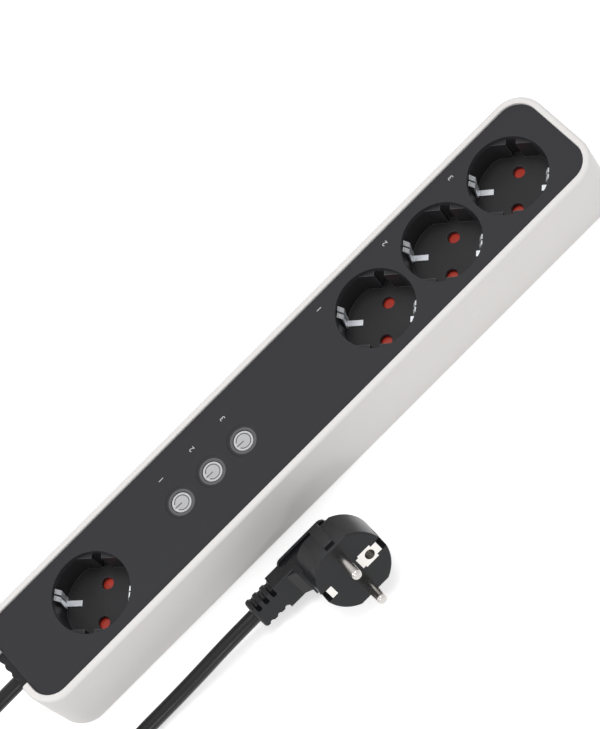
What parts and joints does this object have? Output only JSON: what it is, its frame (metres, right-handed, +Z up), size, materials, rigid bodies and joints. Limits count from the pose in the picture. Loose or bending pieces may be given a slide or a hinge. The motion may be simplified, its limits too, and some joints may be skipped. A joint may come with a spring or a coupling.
{
  "type": "desk power strip",
  "caption": "Long white power strip with a dark top panel, round earthed sockets with red shutters, lit push buttons and a corded angled plug.",
  "frame": {"origin": "under the middle of the strip, on the surface it lies on", "axes": "+X along the strip away from the cord, +Y towards the side with the printed numbers, +Z up"},
  "size_m": [0.5115, 0.1318, 0.0458],
  "materials": {
    "white_shell": "fine-grained moulded",
    "anthracite": "fine matte texture",
    "well_plastic": "satin moulded",
    "shutter_red": "smooth",
    "clip_steel": "sprung strip",
    "brass": "stamped",
    "clear_ring": "frosted light guide",
    "button_grey": "satin",
    "dark_plastic": "moulded",
    "plunger": "moulded",
    "relay_case": "moulded",
    "board": "solder mask",
    "transformer": "varnished",
    "capacitor": "sleeved can",
    "can_metal": "tinned",
    "lamp": "moulded lens",
    "screw_steel": "zinc plated",
    "gland_rubber": "matte",
    "cord_sheath": "semi-gloss",
    "tie_rubber": "matte",
    "lead_brown": "insulation",
    "lead_blue": "insulation",
    "lead_green": "insulation",
    "plug_plastic": "soft sheen",
    "pin_nickel": "nickel plated",
    "plate_nickel": "nickel plated"
  },
  "bodies": {
    "base": {"board_screws": "screw_steel", "button_ring_1": "clear_ring", "button_ring_2": "clear_ring", "button_ring_3": "clear_ring", "cable_gland": "gland_rubber", "capacitors": "capacitor", "clamp_screws": "screw_steel", "control_board": "board", "cord_clamp": "dark_plastic", "cord_coil": "cord_sheath", "cord_inner": "cord_sheath", "cord_tail": "cord_sheath", "cord_tie": "tie_rubber", "cord_tube": "cord_sheath", "earth_bar": "brass", "earth_clip_0": "clip_steel", "earth_clip_1": "clip_steel", "earth_clip_2": "clip_steel", "earth_clip_3": "clip_steel", "housing_screws": "screw_steel", "housing_shell": "white_shell", "indicator_lamps": "lamp", "inner_leads": "lead_brown", "lead_earth": "lead_green", "lead_live": "lead_brown", "lead_neutral": "lead_blue", "live_contact_0": "brass", "live_contact_1": "brass", "live_contact_2": "brass", "live_contact_3": "brass", "neutral_bar": "brass", "plug_body": "plug_plastic", "plug_boot": "plug_plastic", "plug_earth_plate": "plate_nickel", "plug_pin_live": "pin_nickel", "plug_pin_neutral": "pin_nickel", "plug_side_contact": "plate_nickel", "radio_module": "can_metal", "relay_1": "relay_case", "relay_2": "relay_case", "relay_3": "relay_case", "socket_well_0": "well_plastic", "socket_well_1": "well_plastic", "socket_well_2": "well_plastic", "socket_well_3": "well_plastic", "supply_transformer": "transformer", "switch_body_1": "dark_plastic", "switch_body_2": "dark_plastic", "switch_body_3": "dark_plastic", "top_panel": "anthracite"},
    "shutter_0": {"shutter_0": "shutter_red"},
    "shutter_1": {"shutter_1": "shutter_red"},
    "shutter_2": {"shutter_2": "shutter_red"},
    "shutter_3": {"shutter_3": "shutter_red"},
    "button_1": {"button_cap_1": "button_grey", "switch_plunger_1": "plunger"},
    "button_2": {"button_cap_2": "button_grey", "switch_plunger_2": "plunger"},
    "button_3": {"button_cap_3": "button_grey", "switch_plunger_3": "plunger"}
  },
  "joints": [
    {"name": "shutter_0_turn", "type": "hinge", "parent": "base", "child": "shutter_0", "pos_m": [-0.1264, 0, 0.01835], "axis": [0, 0, 1], "range_deg": [0, 38], "stiffness_Nm_per_rad": 0.001, "springref_deg": -17.19},
    {"name": "shutter_1_turn", "type": "hinge", "parent": "base", "child": "shutter_1", "pos_m": [0.0582, 0, 0.01835], "axis": [0, 0, 1], "range_deg": [0, 38], "stiffness_Nm_per_rad": 0.001, "springref_deg": -17.19},
    {"name": "shutter_2_turn", "type": "hinge", "parent": "base", "child": "shutter_2", "pos_m": [0.1012, 0, 0.01835], "axis": [0, 0, 1], "range_deg": [0, 38], "stiffness_Nm_per_rad": 0.001, "springref_deg": -17.19},
    {"name": "shutter_3_turn", "type": "hinge", "parent": "base", "child": "shutter_3", "pos_m": [0.1442, 0, 0.01835], "axis": [0, 0, 1], "range_deg": [0, 38], "stiffness_Nm_per_rad": 0.001, "springref_deg": -17.19},
    {"name": "button_1_press", "type": "slide", "parent": "base", "child": "button_1", "axis": [0, 0, -1], "range_m": [0, 0.0006], "stiffness_N_per_m": 1500, "springref_m": -0.0005},
    {"name": "button_2_press", "type": "slide", "parent": "base", "child": "button_2", "axis": [0, 0, -1], "range_m": [0, 0.0006], "stiffness_N_per_m": 1500, "springref_m": -0.0005},
    {"name": "button_3_press", "type": "slide", "parent": "base", "child": "button_3", "axis": [0, 0, -1], "range_m": [0, 0.0006], "stiffness_N_per_m": 1500, "springref_m": -0.0005}
  ]
}
